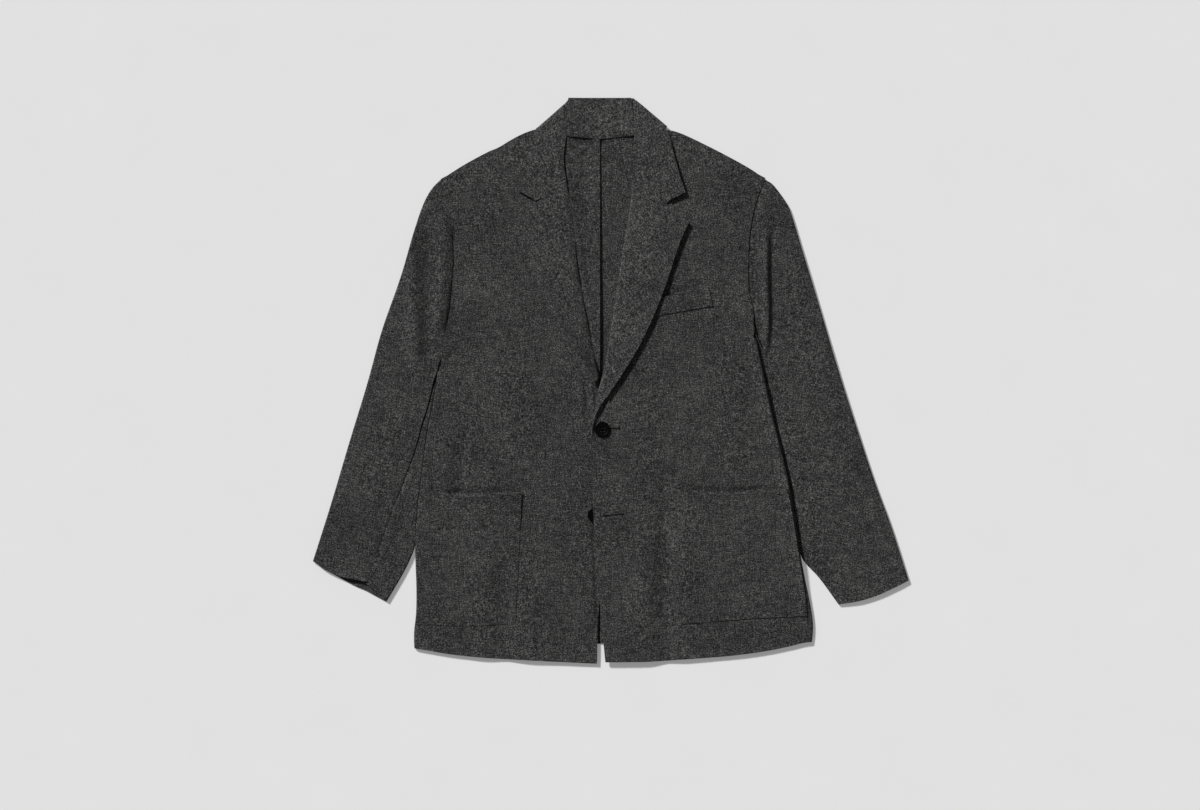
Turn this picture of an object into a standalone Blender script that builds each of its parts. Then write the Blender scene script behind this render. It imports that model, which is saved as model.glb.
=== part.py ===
"""Single breasted blazer, unlined, laid flat with its front up. +Z is up and +Y is the collar end.

Every cloth piece is a grid whose points come from the cut's edges, thickened by Solidify. The tables are in
millimetres, and the meshes are in metres. Left and right are the wearer's, so left is +X.
"""

import math

import bmesh
import bpy
from mathutils import Vector

MM = 0.001  # the meshes are in metres

# Driving dimensions, mm
CLOTH = 1.6          # wool flannel with its turned edges
FACING = 1.2         # lapel face
LEAF = 1.8           # collar leaf, two plies pressed
SEAM = 0.3           # air between two pieces at a seam
HOLE_SEAM = 0.7      # the same where the two edges are curves cut into different runs
BACK_Z = CLOTH / 2   # middle of the back, which rests on the surface
FRONT_Z = 4.4        # middle of the fronts and the upper sleeves
ROLL_R = 1.3         # middle radius of the turned lapel
LAPEL_LIFT = 1.6     # how far a lapel's free edge stands off
OVERLAP_RISE = 1.95  # the left front lies over the right one
SIDE_UNDER = 40.0    # width of the side panel under the body
SIDE_ROWS = 18       # rows of the side panels, which the fronts and the back share
HOLE_ROWS = 15       # rows of the fronts along the armhole
HEM_ROWS = 4         # rows over which the hem's curve fades out
FRONT_COLUMNS = 9    # columns of a front between its side seam and its edge
TURN_STEPS = 4       # runs of the cloth round the roll line
LAPEL_STEPS = 6      # runs across the lapel
FACE_TURN = 3        # runs of the lapel face round the roll line
FACE_LEAST = 13.0    # width of the lapel where its facing starts
FACE_GAP = 0.45      # air between the lapel and its facing
ROLL_INSET = 3.6     # middle of the turn, from the roll line that shows
SIDE_TURN = 5        # runs of the side panel round the outer edge
UNDERARM_LEAN = 12.0  # how far the side panel's top slopes down under the body
SIDE_TOP_INSET = 12.0  # where the side panel's upper layer takes its height from the front
SLEEVE_TURN = 5      # runs of the sleeves round their edges
SLEEVE_ROWS = 20
SLEEVE_COLUMNS = 7
HIND_COLUMN = 5      # column of the hindarm seam on the lower layer
UNDERARM_SEAM = 2.8  # the sleeve's seam is wider at the underarm, where four edges meet
SHOULDER_EASE = 3.2  # the turned edge of the sleeve starts this far past the shoulder point
SHOULDER_Z = 2.75    # the fronts come down to this height at the shoulder line
SHOULDER_FALL = (2.0, 26.0)  # distances from the shoulder line over which they do
OVERLAP_SINK = 0.2   # the right front is pressed down under the left one
LEAF_RISE = 0.9      # how far the leaf's free edge lies over its roll line
LEAF_NECK_Z = 5.4    # middle height of the leaf at the neck, where it folds over
LEAF_CURL = 1.8      # how far the leaf's roll line dips at the neck
CENTRE_BACK_X = -14.5
BACK_HEM_Y = -381.4
BUTTON_D = 22.5
BUTTON_H = 2.6
HOLE_R = 0.9
HOLE_OFF = 2.2       # from the button's middle to a hole's
BUTTON_LIFT = 0.5    # air between the upper button and the cloth
BUTTON_SEAT = 0.3    # the same for the lower one
POCKET_GAPE = 1.2    # how far the mouth of the right pocket stands off
PATCH_RISE = CLOTH + SEAM

# Outer edges of the flat body: (x, y) from the underarm down to the hem corner
BODY_EDGE_LEFT = [
    (213.0, 62.0), (219.2, 28.1), (225.3, 1.5), (233.7, -39.5), (245.8, -87.4), (259.0, -142.9),
    (269.8, -207.7), (277.1, -255.6), (285.2, -295.9), (289.9, -329.1), (293.2, -364.3), (290.0, -377.0),
]
BODY_EDGE_RIGHT = [
    (-248.8, 13.8), (-254.9, -26.9), (-264.0, -69.7), (-270.1, -116.4), (-277.4, -172.9), (-281.0, -212.1),
    (-281.9, -247.2), (-279.9, -299.8), (-280.6, -344.0), (-284.3, -364.3), (-283.0, -387.0),
]
# Distance of the side seam from that edge, by (y, width)
SIDE_SEAM_LEFT = [(62.0, 8.0), (-40.0, 8.0), (-155.0, 22.0), (-250.0, 28.0), (-380.0, 30.0)]
SIDE_SEAM_RIGHT = [(14.0, 9.0), (-98.0, 12.0), (-153.0, 17.0), (-250.0, 22.0), (-390.0, 26.0)]
# Hem of each front: (x, y)
HEM_LEFT = [(-6.2, -407.8), (58.7, -407.4), (123.4, -402.7), (169.7, -399.4), (215.9, -393.9),
            (243.6, -389.3), (267.5, -383.2), (290.0, -377.0)]
HEM_RIGHT = [(-283.0, -387.5), (-229.8, -396.8), (-185.3, -401.4), (-137.3, -404.2), (-71.8, -407.5),
             (-18.1, -410.0)]
# Front edge from the hem up to the bottom of the lapel, then the roll line up to the neck
EDGE_LEFT = [(-6.2, -407.8), (-12.3, -346.9), (-18.9, -273.0), (-22.2, -217.9), (-26.8, -143.9),
             (-26.0, -90.0), (-24.7, -57.8)]
ROLL_LEFT = [(-24.7, -57.8), (-20.0, -25.4), (-13.5, -3.4), (-6.8, 19.9), (6.5, 103.2), (21.5, 203.1),
             (29.7, 249.6), (33.0, 289.0), (34.1, 326.2), (34.8, 357.0)]
EDGE_RIGHT = [(-18.1, -410.0), (-15.4, -322.3), (-8.0, -238.2), (-2.2, -194.7), (6.5, -129.4), (10.9, -70.0),
              (7.0, -38.0), (-20.5, 5.0)]
ROLL_RIGHT = [(-20.5, 5.0), (-21.6, 29.7), (-25.5, 51.8), (-33.2, 92.9), (-39.4, 130.1), (-46.7, 169.3),
              (-49.4, 207.0), (-53.4, 249.0), (-61.2, 286.0), (-66.0, 318.6), (-61.2, 355.0)]
# Free edge of each lapel, from its bottom to its tip
LAPEL_LEFT = [(-24.7, -57.8), (-14.5, -40.2), (1.3, -16.2), (21.6, 14.4), (44.8, 53.3), (66.4, 99.8),
              (83.1, 143.2), (101.4, 199.7), (115.3, 229.5)]
LAPEL_RIGHT = [(-20.5, 5.0), (-33.4, 22.1), (-48.6, 42.4), (-64.5, 67.8), (-79.0, 93.9), (-93.5, 120.0),
               (-107.3, 144.6), (-118.9, 172.2), (-129.8, 202.6), (-140.7, 230.2)]
GORGE_Y = (289.0, 286.0)  # where the seam to the collar leaves the roll line, left and right
# Armhole from the underarm to the shoulder point
ARMHOLE_LEFT = [(213.0, 70.0), (208.1, 99.7), (200.8, 125.8), (199.5, 173.8), (200.8, 209.9), (204.3, 233.8),
                (211.6, 265.1), (224.0, 291.5)]
ARMHOLE_RIGHT = [(-248.8, 13.8), (-240.7, 44.6), (-228.5, 105.5), (-224.8, 144.4), (-222.6, 169.4),
                 (-223.9, 212.6), (-229.0, 246.0), (-243.0, 288.5)]
# Shoulder line from the neck to the shoulder point
SHOULDER_LEFT = [(34.8, 357.0), (81.9, 361.0), (126.3, 344.4), (198.4, 308.3), (224.0, 291.5)]
SHOULDER_RIGHT = [(-61.2, 355.0), (-104.0, 360.0), (-140.7, 349.1), (-203.9, 315.0), (-243.0, 288.5)]
# Sleeves: the outer edge from the shoulder point, and the inner edge from the underarm, both to the cuff
SLEEVE_OUT_LEFT = [(224.0, 291.5), (232.0, 285.6), (244.0, 274.7), (253.6, 257.7), (260.9, 236.3),
                   (276.2, 188.1), (304.4, 96.5), (332.9, 1.1), (379.9, -143.9), (402.5, -204.8), (430.0, -290.1)]
SLEEVE_IN_LEFT = [(216.6, 70.0), (222.8, 29.0), (229.4, 1.5), (238.4, -39.5), (249.8, -87.4), (263.6, -142.9),
                  (274.4, -207.7), (281.6, -255.6), (305.5, -287.6), (332.1, -324.9)]
SLEEVE_OUT_RIGHT = [(-243.0, 288.5), (-248.8, 284.1), (-258.8, 272.5), (-268.0, 255.9), (-282.2, 219.3),
                    (-302.9, 149.4), (-330.5, 72.1), (-349.6, 1.1), (-377.7, -90.7), (-403.0, -176.4),
                    (-430.0, -261.4)]
SLEEVE_IN_RIGHT = [(-250.6, 13.8), (-256.4, -26.9), (-265.4, -69.7), (-271.5, -116.4), (-278.8, -172.9),
                   (-282.4, -212.1), (-284.0, -247.2), (-299.4, -280.5), (-323.4, -320.8)]
CUFF_SAG_LEFT = 6.0     # the cuff bows outwards
CUFF_GAPE_RIGHT = 10.0  # the upper layer of this cuff is drawn back, so its mouth shows
# Collar leaf, seen from the front: roll line and free edge from the gorge up to the fold at the neck
LEAF_ROLL_LEFT = [(33.0, 289.0), (34.1, 326.2), (34.8, 357.0), (34.0, 385.0), (31.5, 408.2)]
LEAF_EDGE_LEFT = [(110.3, 268.9), (101.4, 296.9), (93.1, 327.3), (86.1, 357.8), (81.9, 366.1)]
LEAF_ROLL_RIGHT = [(-61.2, 286.0), (-66.0, 318.6), (-61.2, 355.0), (-59.0, 385.0), (-54.4, 408.2)]
LEAF_EDGE_RIGHT = [(-133.5, 272.5), (-126.0, 296.0), (-119.0, 318.2), (-112.0, 350.0), (-108.2, 365.0)]
NOTCH_LEFT = (81.9, 256.6)
NOTCH_RIGHT = (-106.6, 257.8)
NECK_TOP_Y = 410.0
NECK_SEAM = [(-58.5, 358.6), (-14.5, 354.2), (31.0, 359.6)]
# Patch pockets: mouth and bottom from the middle of the body outwards
POCKET_LEFT_MOUTH = [(97.6, -161.7), (147.2, -163.9), (199.2, -164.2), (236.2, -159.0), (257.0, -158.1)]
POCKET_LEFT_FOOT = [(103.1, -352.3), (150.0, -349.0), (217.8, -343.9), (264.0, -341.8), (286.0, -341.0)]
POCKET_RIGHT_MOUTH = [(-127.0, -162.0), (-166.9, -165.5), (-205.8, -168.6), (-244.6, -164.5), (-269.0, -153.0)]
POCKET_RIGHT_FOOT = [(-136.3, -351.7), (-174.3, -354.2), (-220.0, -355.0), (-277.0, -353.0)]
WELT_FOOT = [(66.0, 93.6), (149.4, 108.4)]
WELT_TOP = [(66.0, 119.0), (142.8, 135.9)]
BUTTON_UPPER = (-10.7, -70.3)
BUTTON_LOWER = (-21.0, -194.4)
WOOL = (0.042, 0.042, 0.041)
RESIN = (0.006, 0.006, 0.006)
# Large soft folds: points along it, half width, height (valleys are negative)
FOLDS = [
    ([(-272.2, 233.1), (-272.2, 182.6), (-265.5, 133.0), (-261.0, 75.0), (-262.0, 10.0)], 9.0, -1.4),
    ([(-288.0, 170.0), (-290.0, 90.0), (-284.0, 10.0)], 16.0, 1.0),
    ([(235.0, 232.0), (233.0, 170.0), (231.0, 110.0), (229.5, 42.0)], 7.0, -1.2),
    ([(252.0, 180.0), (258.0, 100.0), (262.0, 20.0)], 14.0, 0.9),
    ([(78.0, -200.0), (80.0, -404.0)], 16.0, -1.0),
    ([(50.0, -190.0), (48.0, -404.0)], 20.0, 0.7),
    ([(118.0, -190.0), (120.0, -400.0)], 22.0, 0.6),
    ([(-160.0, -285.0), (-160.0, -403.0)], 24.0, -0.9),
    ([(-112.0, -230.0), (-108.0, -402.0)], 24.0, 0.6),
    ([(-198.0, -28.0), (-199.0, -158.0)], 14.0, -0.7),
    ([(-232.0, -60.0), (-238.0, -150.0)], 12.0, 0.6),
    ([(160.0, 40.0), (175.0, -110.0)], 26.0, 0.6),
    ([(-120.0, 60.0), (-105.0, -110.0)], 30.0, 0.5),
    ([(-345.0, -60.0), (-370.0, -150.0)], 18.0, 0.7),
    ([(330.0, -60.0), (352.0, -150.0)], 18.0, 0.7),
]


def smooth_line(points, count):
    """count + 1 points spaced evenly along a smooth curve through the given points."""
    knots = [Vector((p[0], p[1])) for p in points]
    dense = [knots[0]]
    for i in range(len(knots) - 1):
        before = knots[max(i - 1, 0)]
        after = knots[min(i + 2, len(knots) - 1)]
        a, b = knots[i], knots[i + 1]
        tangent_a = (b - before) * (0.5 if i else 1.0)
        tangent_b = (after - a) * (0.5 if i + 2 < len(knots) else 1.0)
        for step in range(1, 9):
            t = step / 8
            dense.append(
                a * (2 * t ** 3 - 3 * t ** 2 + 1) + tangent_a * (t ** 3 - 2 * t ** 2 + t)
                + b * (3 * t ** 2 - 2 * t ** 3) + tangent_b * (t ** 3 - t ** 2)
            )
    return resample(dense, count)


def resample(points, count):
    """count + 1 points spaced evenly along straight runs."""
    lengths = [0.0]
    for a, b in zip(points, points[1:]):
        lengths.append(lengths[-1] + (Vector(b) - Vector(a)).length)
    out = []
    i = 0
    for k in range(count + 1):
        want = lengths[-1] * k / count
        while i < len(points) - 2 and lengths[i + 1] < want:
            i += 1
        share = (want - lengths[i]) / max(lengths[i + 1] - lengths[i], 1e-9)
        out.append(Vector(points[i]).lerp(Vector(points[i + 1]), min(max(share, 0.0), 1.0)))
    return out


def read(table, key, column=1):
    """Straight-line reading of a table sorted on its first (or, for column 0, its second) value."""
    rows = sorted((row[1 - column], row[column]) for row in table)
    if key <= rows[0][0]:
        return rows[0][1]
    for (a, va), (b, vb) in zip(rows, rows[1:]):
        if key <= b:
            return va + (vb - va) * (key - a) / (b - a)
    return rows[-1][1]


def ease(value, low, high):
    """0 below low, 1 above high, and smooth between them."""
    t = min(max((value - low) / (high - low), 0.0), 1.0)
    return t * t * (3 - 2 * t)


def line_distance(x, y, points):
    """Distance from a point to a polyline."""
    best = 1e9
    for a, b in zip(points, points[1:]):
        run = Vector(b) - Vector(a)
        t = (Vector((x, y)) - Vector(a)).dot(run) / run.length_squared
        foot = Vector(a) + run * min(max(t, 0.0), 1.0)
        best = min(best, (foot - Vector((x, y))).length)
    return best


def relief(x, y):
    """Height of the soft folds over the plain level."""
    total = 0.0
    for points, half_width, height in FOLDS:
        gap = line_distance(x, y, points)
        if gap < 3 * half_width:
            total += height * math.exp(-((gap / half_width) ** 2))
    return max(min(total, 1.6), -1.5)


def front_right_z(x, y):
    """Middle height of the right front."""
    fade = ease(abs(x + 20.0), 20.0, 60.0)  # no folds under the left front
    shoulder = ease(line_distance(x, y, SHOULDER_RIGHT), *SHOULDER_FALL)
    level = FRONT_Z - OVERLAP_SINK * (1 - fade) + relief(x, y) * fade
    return SHOULDER_Z + (level - SHOULDER_Z) * shoulder


def front_left_z(x, y):
    """Middle height of the left front, which climbs over the right one and over the lower button."""
    rise = OVERLAP_RISE * (1 - ease(x, 22.0, 90.0)) * (1 - ease(y, 10.0, 80.0))
    over_button = Vector((x - BUTTON_LOWER[0], y - BUTTON_LOWER[1])).length
    rise += (BUTTON_H + SEAM) * (1 - ease(over_button, 28.0, 60.0))
    shoulder = ease(line_distance(x, y, SHOULDER_LEFT), *SHOULDER_FALL)
    return SHOULDER_Z + (FRONT_Z + rise + relief(x, y) - SHOULDER_Z) * shoulder


# Scene, materials and the making of one piece


def clear_scene():
    """Empties the file and gives the part's collection."""
    for obj in list(bpy.data.objects):
        bpy.data.objects.remove(obj)
    collection = bpy.data.collections.new("single_breasted_blazer")
    bpy.context.scene.collection.children.link(collection)
    return collection


def principled(name, colour, roughness, metallic=0.0):
    """A Principled material in linear colour."""
    material = bpy.data.materials.new(name)
    material.use_nodes = True
    shader = material.node_tree.nodes["Principled BSDF"]
    shader.inputs["Base Color"].default_value = (*colour, 1.0)
    shader.inputs["Roughness"].default_value = roughness
    shader.inputs["Metallic"].default_value = metallic
    return material


def wool(name):
    return principled(f"wool_flannel_{name}", WOOL, 0.9)


def cloth_piece(collection, name, rows, thickness=CLOTH):
    """A grid through rows of (x, y, z) in mm, thickened evenly on both sides of its points."""
    across = len(rows[0])
    shape = bmesh.new()
    bmesh.ops.create_grid(shape, x_segments=across - 1, y_segments=len(rows) - 1, size=1.0)
    shape.verts.ensure_lookup_table()
    for k, vert in enumerate(shape.verts):
        vert.co = Vector(rows[k // across][k % across]) * MM
    bmesh.ops.remove_doubles(shape, verts=shape.verts, dist=2e-5)
    bmesh.ops.dissolve_degenerate(shape, edges=shape.edges, dist=1e-5)
    bmesh.ops.recalc_face_normals(shape, faces=shape.faces)
    mesh = bpy.data.meshes.new(name)
    shape.to_mesh(mesh)
    shape.free()
    obj = bpy.data.objects.new(name, mesh)
    collection.objects.link(obj)
    mesh.materials.append(wool(name))
    solidify = obj.modifiers.new("cloth", "SOLIDIFY")
    solidify.thickness = thickness * MM
    solidify.offset = 0.0
    solidify.use_even_offset = False
    return obj


# Body


def body_x(spec, y):
    """Outer edge of the flat body at one height."""
    return read(spec["body_line"], y, 0)


def seam_x(spec, y):
    """Side seam at one height."""
    return body_x(spec, y) - spec["side"] * read(spec["widths"], y)


def side_heights(spec):
    """Heights of the side panel's rows, from the hem to the underarm."""
    foot, top = spec["foot"], spec["body"][0][1]
    return [foot + (top - foot) * k / SIDE_ROWS for k in range(SIDE_ROWS + 1)]


def hem_drop(spec, x, y_straight, k):
    """How far a row near the hem follows the hem's curve."""
    return (read(spec["hem"], x) - y_straight) * max(0.0, 1 - k / HEM_ROWS)


def roll_rows(spec, count):
    """The roll line's rows, one of which lies at the gorge, and that row's number."""
    roll = smooth_line(spec["roll"], count)
    gorge = min(range(count + 1), key=lambda k: abs(roll[k].y - spec["gorge"]))
    roll[gorge] = Vector((read(spec["roll"], spec["gorge"], 0), spec["gorge"]))
    return roll, gorge


def front_rows(spec):
    """How many rows of a front lie below its lapel, and how many above."""
    heights = side_heights(spec)
    low = min(range(SIDE_ROWS + 1), key=lambda k: abs(heights[k] - spec["roll"][0][1]))
    return low, SIDE_ROWS + HOLE_ROWS - low


def make_front(collection, name, spec):
    """A front from its side seam to its edge, round the roll line and on as the back of the lapel."""
    across = FRONT_COLUMNS
    heights = side_heights(spec)
    low_rows, high_rows = front_rows(spec)
    outer = [Vector((seam_x(spec, y), y)) for y in heights]
    outer += smooth_line([outer[-1]] + spec["armhole"][1:], HOLE_ROWS)[1:]
    edge = smooth_line(spec["edge"], low_rows)
    roll, gorge_row = roll_rows(spec, high_rows)
    inner = edge[:-1] + roll
    lapel = smooth_line(spec["lapel"], 40)
    rows = []
    n = len(inner)
    shoulder = smooth_line(spec["shoulder"], across)
    for k in range(n):
        start, end = outer[k], inner[k]
        up = k > low_rows
        sideways = Vector((-spec["side"], 0.0))
        inset = ROLL_INSET if up else SEAM / 2
        stop = end - sideways * inset
        row = []
        for c in range(across + 1):
            t = c / across
            p = start.lerp(stop, t)
            p.y += hem_drop(spec, p.x, outer[0].lerp(inner[0], t).y, k)
            if k > n - 4:
                share = (k - (n - 4)) / 3
                target = shoulder[across - c].copy()
                target.y -= 1.0
                straight = outer[-1].lerp(inner[-1] - sideways * inset, t)
                p += (target - straight) * share ** 2
            if c == 0:
                p.x -= spec["side"] * SEAM / 2
            row.append(Vector((p.x, p.y, spec["z"](p.x, p.y))))
        last = row[-1]
        if low_rows < k <= low_rows + gorge_row:
            row += lapel_section(spec, k - low_rows, gorge_row, roll, lapel, last)
        else:
            row += [last.copy() for _ in range(TURN_STEPS + LAPEL_STEPS)]
        rows.append(row)
    return cloth_piece(collection, name, rows)


def lapel_edge(k, gorge_row, lapel):
    """Free edge of the lapel at one of the roll line's rows."""
    place = min(k / gorge_row * (len(lapel) - 1), len(lapel) - 1.001)
    i = int(place)
    return lapel[i].lerp(lapel[i + 1], place - i)


def lapel_section(spec, k, gorge_row, roll, lapel, last):
    """Turn of the cloth at the roll line and the back of the lapel, for one row of a front."""
    side = spec["side"]
    end = lapel_edge(k, gorge_row, lapel)
    grow = ease((end - roll[k]).length, 0.0, 12.0)
    radius = ROLL_R * grow
    out = []
    for step in range(1, TURN_STEPS + 1):
        angle = math.pi * step / TURN_STEPS
        out.append(Vector((
            last.x - side * radius * math.sin(angle), last.y, last.z + radius * (1 - math.cos(angle)))))
    tip = Vector((end.x - side * 0.8, end.y))
    for step in range(1, LAPEL_STEPS + 1):
        t = step / LAPEL_STEPS
        p = Vector((last.x, last.y)).lerp(tip, t)
        z = spec["z"](p.x, p.y) + 2 * radius + LAPEL_LIFT * t ** 1.5 * grow
        out.append(Vector((p.x, p.y, max(z, last.z))))
    return out


def make_lapel_face(collection, name, spec):
    """The facing that shows as the lapel, laid on the back of the lapel."""
    high_rows = front_rows(spec)[1]
    roll, gorge_row = roll_rows(spec, high_rows)
    lapel = smooth_line(spec["lapel"], 40)
    side = spec["side"]
    rise = 2 * ROLL_R + CLOTH / 2 + FACE_GAP + FACING / 2
    radius = ROLL_R + CLOTH / 2 + FACE_GAP + FACING / 2
    rows = []
    for k in range(1, gorge_row + 1):
        start, end = roll[k], lapel_edge(k, gorge_row, lapel)
        if (end - start).length < FACE_LEAST:
            continue
        centre = start + Vector((side * ROLL_INSET, 0.0))
        base = spec["z"](centre.x, centre.y)
        row = []
        for step in range(FACE_TURN):
            angle = math.pi / 2 * step / FACE_TURN
            row.append(Vector((
                centre.x - side * radius * math.cos(angle), centre.y,
                base + ROLL_R + radius * math.sin(angle))))
        for step in range(LAPEL_STEPS + 1):
            t = step / LAPEL_STEPS
            p = centre.lerp(end, t)
            z = spec["z"](p.x, p.y) + rise + LAPEL_LIFT * t ** 1.5
            row.append(Vector((p.x, p.y, z)))
        rows.append(row)
    return cloth_piece(collection, name, rows, FACING)


def make_side(collection, name, spec):
    """Side panel: under the body, round the outer edge, and up to the front seam."""
    side = spec["side"]
    rows = []
    for k, y in enumerate(side_heights(spec)):
        edge = body_x(spec, y)
        top = spec["z"](edge - side * SIDE_TOP_INSET, y)
        radius = (top - BACK_Z) / 2
        seam = seam_x(spec, y) + side * SEAM
        foot = edge - side * SIDE_UNDER
        lean = -UNDERARM_LEAN * ease(k / SIDE_ROWS, 0.9, 1.0)
        turn = edge - side * (radius + CLOTH / 2)
        row = []
        for step in range(3):
            x = foot + (turn - foot) * step / 3
            drop = (BACK_HEM_Y - spec["foot"]) * max(0.0, 1 - k / HEM_ROWS)
            row.append(Vector((x, y + drop + lean * (1 - step / 3), BACK_Z)))
        for step in range(SIDE_TURN + 1):
            angle = math.pi * step / SIDE_TURN
            x = turn + side * radius * math.sin(angle)
            row.append(Vector((x, y + hem_drop(spec, x, spec["foot"], k), BACK_Z + radius * (1 - math.cos(angle)))))
        inner = min(side * turn - 0.6, side * seam) * side
        for step in (1, 2):
            x = turn + (inner - turn) * step / 2
            z = top + (spec["z"](x, y) - top) * ease(step / 2, 0.0, 1.0)
            row.append(Vector((x, y + hem_drop(spec, x, spec["foot"], k), z)))
        rows.append(row)
    return cloth_piece(collection, name, rows)


def make_back(collection, name, spec):
    """Half of the back, flat on the surface."""
    hole_rows, across = 9, 6
    side = spec["side"]
    heights = side_heights(spec)
    outer = [Vector((body_x(spec, y) - side * (SIDE_UNDER + SEAM + 0.3), y)) for y in heights[1:-1]]
    outer[-1].y -= UNDERARM_LEAN / 2
    corner = Vector((body_x(spec, heights[-1]) - side * 4.0, heights[-1] + 2.5))
    step_x = body_x(spec, heights[-1]) - side * (SIDE_UNDER + 2 * SEAM)
    outer += [Vector((step_x, heights[-1] - UNDERARM_LEAN + 1.5)), corner]
    outer += smooth_line([corner] + spec["armhole"][1:], hole_rows)[1:]
    count = len(outer) - 1
    rows = []
    centre = CENTRE_BACK_X + side * SEAM / 2
    neck = read(NECK_SEAM, CENTRE_BACK_X) - SEAM - 0.4
    top = [Vector((centre, neck)), Vector((spec["roll"][-1][0], spec["roll"][-1][1] - 1.0))]
    top += [Vector((p[0], p[1] - 0.5)) for p in spec["shoulder"][1:]]
    top_row = resample(top, across)
    for k, end in enumerate(outer):
        y = BACK_HEM_Y + (neck - BACK_HEM_Y) * k / count
        share = ease(k / count, 0.6, 1.0)
        row = []
        for c in range(across + 1):
            t = c / across
            p = Vector((centre, y)).lerp(end, t)
            if k == count:
                p = top_row[c].copy()
            else:
                straight = Vector((centre, neck)).lerp(outer[-1], t)
                p += (top_row[c] - straight) * share ** 2
            if c == across:
                p.x -= side * SEAM / 2
            row.append(Vector((p.x, p.y, BACK_Z)))
        rows.append(row)
    return cloth_piece(collection, name, rows)


# Sleeves


def sleeve_layers(spec, k, outer, inner, columns):
    """The points of one ring's two layers, (upper place, lower place, height), from the inner edge out."""
    count = len(outer) - 1
    share = k / count
    a, b = inner[k], outer[k]
    side = spec["side"]
    across = b - a
    along = Vector((across.y, -across.x)).normalized()
    if along.y > 0:
        along = -along
    bulge = max(0.0, 1 - share / 0.22) ** 2
    tail = ease(share, 0.9, 1.0)
    hole = spec["hole_line"]
    ring = []
    for c in range(columns + 1):
        t = c / columns
        p = a.lerp(b, t)
        straight = inner[0].lerp(outer[0], t)
        p += (hole[round(t * (len(hole) - 1))] - straight) * bulge
        p.x += side * (HOLE_SEAM + SHOULDER_EASE * t ** 3) * bulge
        low = p + along * math.sin(math.pi * t) * spec["cuff_sag"] * tail
        gape = math.exp(-(((t - 0.3) / 0.22) ** 2))
        up = low - along * gape * spec["cuff_gape"] * tail
        rim = ease(min(t, 1 - t) * across.length, 0.0, 18.0)
        inner_z = FRONT_Z - spec["inner_drop"] * ease(share, 0.0, 0.1)
        z = inner_z + (FRONT_Z - inner_z) * ease(t, 0.0, 0.35) + relief(p.x, p.y) * rim
        ring.append((up, low, z))
    return ring


def edge_normal(line, k, towards):
    """Unit normal of an edge at one of its points, on the side of the given point."""
    run = line[min(k + 1, len(line) - 1)] - line[max(k - 1, 0)]
    normal = Vector((run.y, -run.x)).normalized()
    return normal if normal.dot(towards - line[k]) > 0 else -normal


def turn_points(start, end, out, radius):
    """The inner points of a half turn between two stacked points, bulging along out."""
    points = []
    for step in range(1, SLEEVE_TURN):
        angle = math.pi * step / SLEEVE_TURN
        base = start.lerp(end, (1 - math.cos(angle)) / 2)
        points.append(base + Vector((*(out * radius * math.sin(angle)), 0.0)))
    return points


def sleeve_pieces(collection, names, spec):
    """Top sleeve and under sleeve: one flattened tube, cut at the inseam and at the hindarm seam."""
    rows_n, columns = SLEEVE_ROWS, SLEEVE_COLUMNS
    hind = HIND_COLUMN / columns
    outer = smooth_line(spec["sleeve_out"], rows_n)
    inner = smooth_line(spec["sleeve_in"], rows_n)
    spec["hole_line"] = smooth_line(spec["armhole"], columns * 4)
    top_rows, under_rows = [], []
    for k in range(rows_n + 1):
        ring = sleeve_layers(spec, k, outer, inner, columns)
        r_in, r_out = (ring[0][2] - BACK_Z) / 2, (ring[-1][2] - BACK_Z) / 2
        go_in = edge_normal(inner, k, outer[k])
        go_out = edge_normal(outer, k, inner[k])
        upper, lower = [], []
        for c, (up, low, z) in enumerate(ring):
            t = c / columns
            pull = go_in * (r_in + CLOTH / 2) * max(0.0, 1 - t / 0.15)
            pull += go_out * (r_out + CLOTH / 2) * max(0.0, 1 - (1 - t) / 0.15)
            upper.append(Vector((*(up + pull), z)))
            lower.append(Vector((*(low + pull), BACK_Z)))
        turn_out = turn_points(upper[-1], lower[-1], -go_out, r_out)
        turn_in = turn_points(lower[0], upper[0], -go_in, r_in)
        chord = outer[k] - inner[k]
        slant = max(abs(chord.normalized().dot(go_in)), 0.12)
        strip = (spec["inseam"] * ease(k / rows_n, 0.12, 1.0) + 3.0) / slant / chord.length
        gap = (SEAM if k > 1 else UNDERARM_SEAM) / slant / chord.length
        strip = min(strip, 0.45)
        top_rows.append(
            sample_row(upper, strip + gap / 2, 1.0, columns) + turn_out + sample_row(lower, 1.0, hind + gap / 2, 2))
        under_rows.append(
            sample_row(lower, hind - gap / 2, 0.0, 4) + turn_in + sample_row(upper, 0.0, strip - gap / 2, 2))
    cloth_piece(collection, names[0], top_rows)
    cloth_piece(collection, names[1], under_rows)


def sample_row(points, start, end, count):
    """count + 1 points read from a row between two shares of its columns."""
    last = len(points) - 1
    out = []
    for k in range(count + 1):
        place = (start + (end - start) * k / count) * last
        i = min(int(place), last - 1)
        out.append(points[i].lerp(points[i + 1], place - i))
    return out


# Collar


def make_collar_leaf(collection, name):
    """The leaf: over the front at each side, round the fold at the neck, and behind the neck."""
    front_n, back_n, across = 8, 12, 6
    rows = leaf_front(LEAF_ROLL_RIGHT, LEAF_EDGE_RIGHT, NOTCH_RIGHT, front_n, across, -1)
    rows += leaf_turn(rows[-1])
    left = leaf_front(LEAF_ROLL_LEFT, LEAF_EDGE_LEFT, NOTCH_LEFT, front_n, across, 1)
    turn_left = leaf_turn(left[-1])
    start, end = rows[-1], turn_left[-1]
    for k in range(1, back_n):
        t = k / back_n
        row = []
        for c in range(across + 1):
            p = start[c].lerp(end[c], t)
            p.y -= 0.6 * math.sin(math.pi * t) * c / across
            row.append(p)
        rows.append(row)
    rows += list(reversed(turn_left))
    rows += list(reversed(left))
    return cloth_piece(collection, name, rows, LEAF)


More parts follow.
